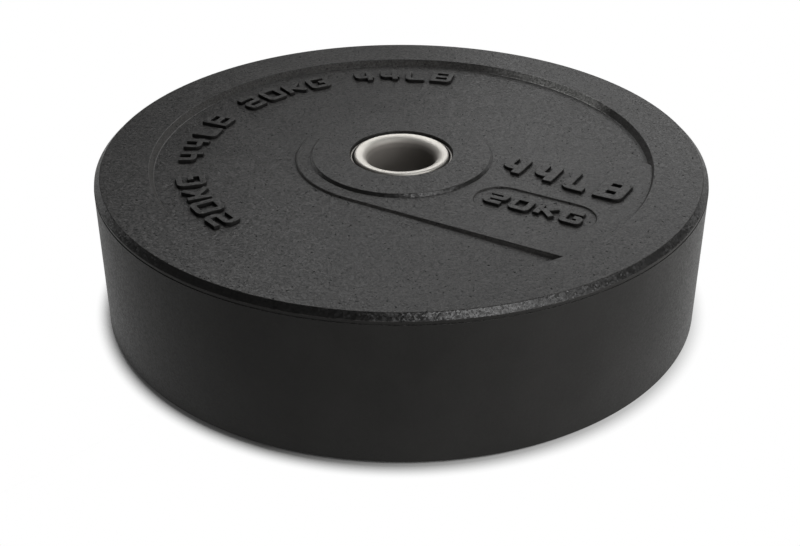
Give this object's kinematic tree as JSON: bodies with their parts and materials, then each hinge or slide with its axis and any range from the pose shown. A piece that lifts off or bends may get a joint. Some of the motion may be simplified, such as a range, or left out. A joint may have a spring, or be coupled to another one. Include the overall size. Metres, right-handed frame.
{
  "type": "bumper plate",
  "caption": "Thick round crumb-rubber weight plate with a raised hub and tongue on each face and a steel bell-mouthed bore for a bar sleeve.",
  "frame": {"origin": "centre of the bore in the plane of the lower rim face, on which the plate lies", "axes": "+Z along the bore axis and out of the upper face, +X to the right of the picture's view, +Y away from the viewer"},
  "size_m": [0.45, 0.45, 0.115],
  "materials": {
    "crumb_rubber": "matte moulded crumb rubber with a fine grain",
    "stainless_steel": "turned and polished",
    "plain_steel": "dull zinc-grey tube and plate"
  },
  "bodies": {
    "root": {"rubber_body": "crumb_rubber", "hub_tube": "plain_steel", "anchor_flange": "plain_steel", "upper_liner": "stainless_steel", "lower_liner": "stainless_steel"}
  },
  "joints": []
}
